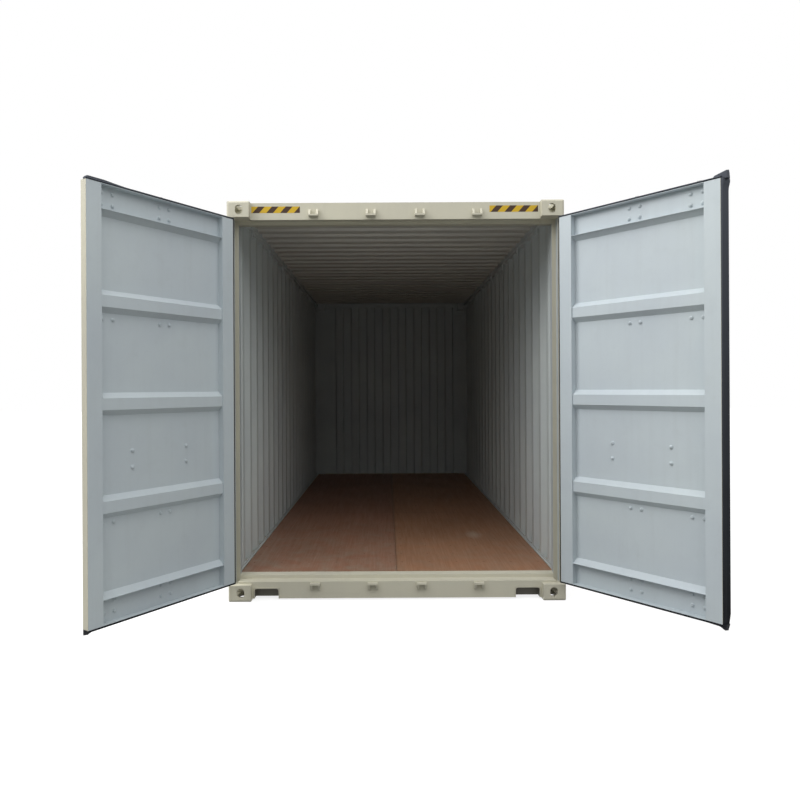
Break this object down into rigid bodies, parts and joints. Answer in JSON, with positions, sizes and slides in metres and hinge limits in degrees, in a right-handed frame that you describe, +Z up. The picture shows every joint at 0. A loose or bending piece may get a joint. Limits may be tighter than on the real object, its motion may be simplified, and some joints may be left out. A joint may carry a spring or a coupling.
{
  "type": "shipping container",
  "caption": "High-cube steel dry-cargo container with corrugated walls, corner castings, plywood floor and hinged end doors with lock rods, standing open.",
  "frame": {"origin": "middle of the base on the ground plane, at the centre of the bottom castings' slots", "axes": "+X towards the door end, +Y towards the right door as seen from the door end, +Z up"},
  "size_m": [7.0721, 3.7391, 2.896],
  "materials": {
    "cream_paint": "satin cream paint, lightly soiled",
    "wall_paint": "satin blue-grey paint",
    "door_paint": "satin pale grey paint",
    "plywood": "oiled and worn plywood",
    "seal_rubber": "matt black",
    "zinc_steel": "dull zinc coating"
  },
  "bodies": {
    "container": {"bottom_corner_castings": "cream_paint", "top_corner_castings": "cream_paint", "rear_posts": "cream_paint", "rear_j_bars": "cream_paint", "front_posts": "cream_paint", "door_header": "cream_paint", "door_sill": "cream_paint", "sill_liners": "cream_paint", "front_top_rail": "cream_paint", "front_bottom_rail": "cream_paint", "top_side_rails": "cream_paint", "bottom_side_rails": "cream_paint", "forklift_pockets": "cream_paint", "hinge_lugs": "cream_paint", "side_vents": "cream_paint", "header_keepers": "cream_paint", "sill_keepers": "cream_paint", "left_side_wall": "wall_paint", "right_side_wall": "wall_paint", "front_wall": "wall_paint", "roof_panel": "wall_paint", "cross_members": "wall_paint", "floor_guides": "wall_paint", "lashing_rings": "wall_paint", "left_floor_boards": "plywood", "right_floor_boards": "plywood"},
    "left_door": {"left_hinge_blades": "cream_paint", "left_door_frame": "door_paint", "left_door_panel": "door_paint", "left_door_seal": "seal_rubber", "left_lock_rods": "zinc_steel", "left_rod_brackets": "zinc_steel", "left_handles": "zinc_steel", "left_handle_retainers": "zinc_steel"},
    "right_door": {"right_hinge_blades": "cream_paint", "right_door_frame": "door_paint", "right_door_panel": "door_paint", "right_door_seal": "seal_rubber", "right_centre_seal": "seal_rubber", "right_lock_rods": "zinc_steel", "right_rod_brackets": "zinc_steel", "right_handles": "zinc_steel", "right_handle_retainers": "zinc_steel"}
  },
  "joints": [
    {"name": "left_door_hinge", "type": "hinge", "parent": "container", "child": "left_door", "pos_m": [2.999, -1.204, 0.157], "axis": [0, 0, -1], "range_deg": [-123, 142]},
    {"name": "right_door_hinge", "type": "hinge", "parent": "container", "child": "right_door", "pos_m": [2.999, 1.204, 0.157], "axis": [0, 0, 1], "range_deg": [-128, 137]}
  ]
}
